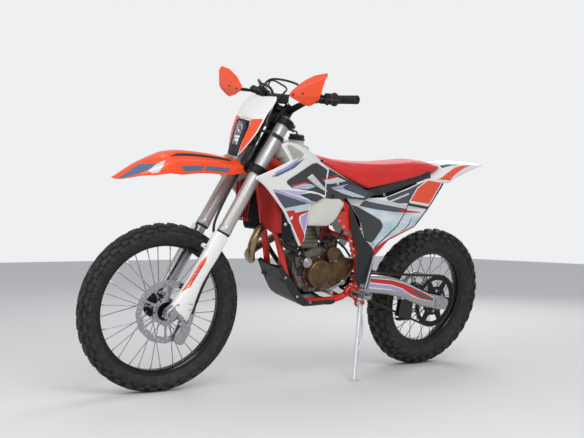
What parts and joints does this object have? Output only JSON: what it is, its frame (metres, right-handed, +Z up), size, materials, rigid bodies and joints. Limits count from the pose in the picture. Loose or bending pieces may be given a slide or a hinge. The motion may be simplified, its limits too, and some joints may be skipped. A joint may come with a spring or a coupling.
{
  "type": "enduro dirt bike",
  "caption": "Off-road motorcycle leaning on its side stand, with long-travel fork, knobbly tyres, bench seat, handguards and a folding stand.",
  "frame": {"origin": "ground point under the centre of the parked bike's bounding box", "axes": "+X forwards, +Y to the rider's left, +Z up; the bike leans 11.8 degrees towards +Y"},
  "size_m": [2.1613, 0.8269, 1.3792],
  "materials": {
    "frame_paint": "gloss",
    "black_plastic": "matte",
    "white_plastic": "gloss",
    "orange_plastic": "gloss",
    "red_plastic": "satin",
    "tank_plastic": "satin",
    "red_seat": "satin",
    "engine_metal": "satin",
    "bronze_cover": "satin",
    "header_steel": "satin",
    "aluminium": "satin",
    "black_metal": "satin",
    "bare_steel": "satin",
    "chain_steel": "satin",
    "tyre_rubber": "matte",
    "grip_rubber": "matte"
  },
  "bodies": {
    "chassis": {"frame": "frame_paint", "subframe": "black_metal", "engine": "engine_metal", "engine_covers": "bronze_cover", "exhaust_header": "header_steel", "muffler": "aluminium", "radiators": "black_metal", "radiator_guards": "red_plastic", "fuel_tank": "tank_plastic", "tank_cap": "black_plastic", "shrouds": "white_plastic", "seat": "red_seat", "side_panels": "white_plastic", "rear_fender": "white_plastic", "airbox": "black_plastic", "skid_plate": "black_plastic", "footpegs": "bare_steel", "foot_controls": "bare_steel", "swingarm": "aluminium", "chain": "chain_steel", "chain_guide": "black_plastic", "rear_shock": "black_metal", "frame_guards": "black_plastic", "rear_caliper": "black_metal", "stand_spring": "bare_steel"},
    "fork": {"triple_clamps": "black_metal", "fork_legs": "aluminium", "fork_guards": "white_plastic", "handlebar": "black_metal", "grips": "grip_rubber", "handguards": "orange_plastic", "levers": "black_metal", "front_fender": "orange_plastic", "number_plate": "white_plastic", "headlight": "black_plastic", "front_caliper": "aluminium", "front_axle": "bare_steel", "hoses": "grip_rubber"},
    "front_wheel": {"front_tyre": "tyre_rubber", "front_wheel": "black_metal", "front_disc": "bare_steel"},
    "rear_wheel": {"rear_tyre": "tyre_rubber", "rear_wheel": "black_metal", "rear_sprocket": "black_metal", "rear_disc": "bare_steel"},
    "side_stand": {"side_stand": "aluminium"}
  },
  "joints": [
    {"name": "steering", "type": "hinge", "parent": "chassis", "child": "fork", "pos_m": [0.378, -0.06339, 0.91851], "axis": [-0.4462, 0.183, 0.876], "range_deg": [-34, 45]},
    {"name": "front_wheel_spin", "type": "hinge", "parent": "fork", "child": "front_wheel", "pos_m": [0.73605, -0.18979, 0.34113], "axis": [0.0889, 0.9831, -0.1601], "continuous": true},
    {"name": "rear_wheel_spin", "type": "hinge", "parent": "chassis", "child": "rear_wheel", "pos_m": [-0.7437, -0.18588, 0.33217], "axis": [0, 0.9789, -0.2045], "continuous": true},
    {"name": "side_stand_fold", "type": "hinge", "parent": "chassis", "child": "side_stand", "pos_m": [-0.198, -0.0321, 0.33477], "axis": [0.0384, 0.9815, 0.1875], "range_deg": [0, 100]}
  ]
}
